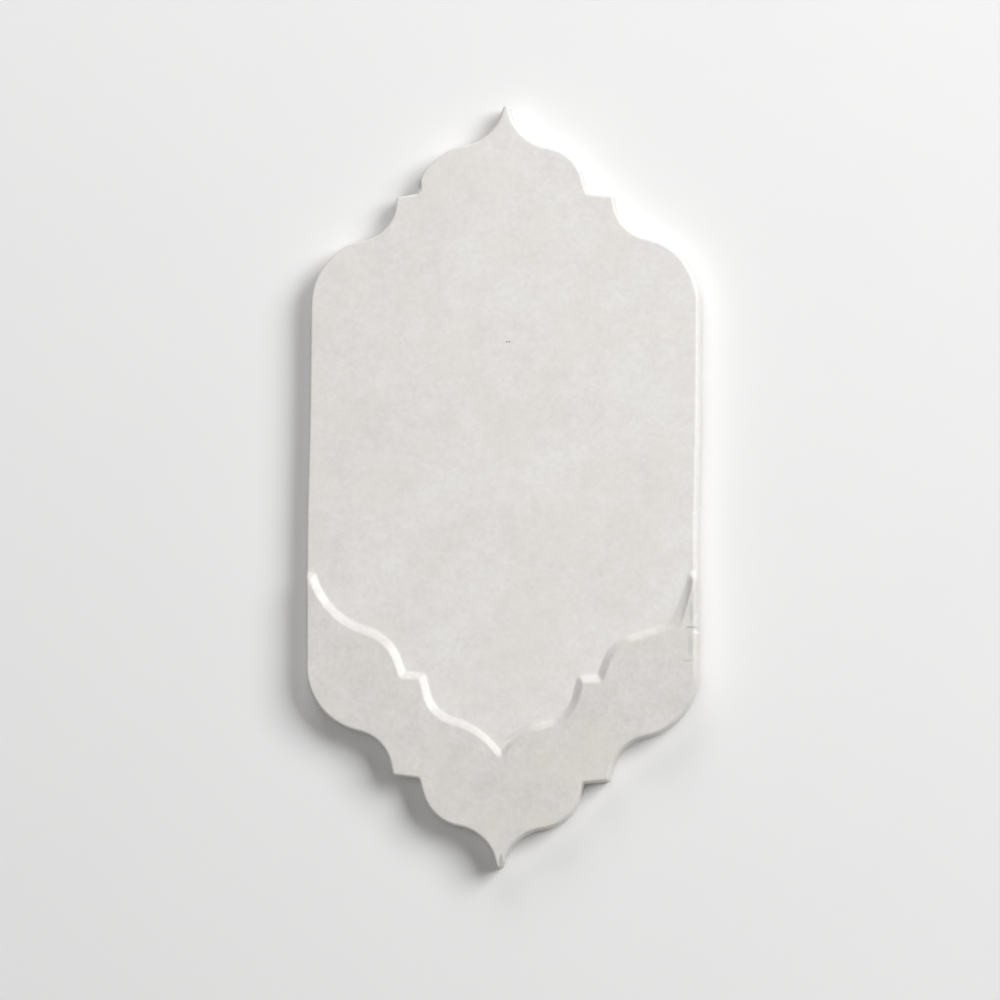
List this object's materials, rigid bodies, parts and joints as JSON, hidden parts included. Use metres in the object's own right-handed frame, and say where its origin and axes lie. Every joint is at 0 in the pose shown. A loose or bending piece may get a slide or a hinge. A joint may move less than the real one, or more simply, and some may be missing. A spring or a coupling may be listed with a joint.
{
  "type": "ceramic accent tile",
  "caption": "Glazed ceramic accent tile with a long lantern outline and a raised ogee band across its foot; bonded flat to a wall or floor.",
  "frame": {"origin": "centre of the back, on the plane that the tile rests on or is bonded to", "axes": "+Z out of the glazed face; +Y along the length, towards the plain tip; the raised band is at the -Y end; +X to the right seen from the face"},
  "size_m": [0.15, 0.292, 0.0125],
  "materials": {
    "glazed_ceramic": "off-white glaze with a faint speckle, satin to glossy, pooled soft at the edges"
  },
  "bodies": {
    "root": {"tile_body": "glazed_ceramic"}
  },
  "joints": []
}
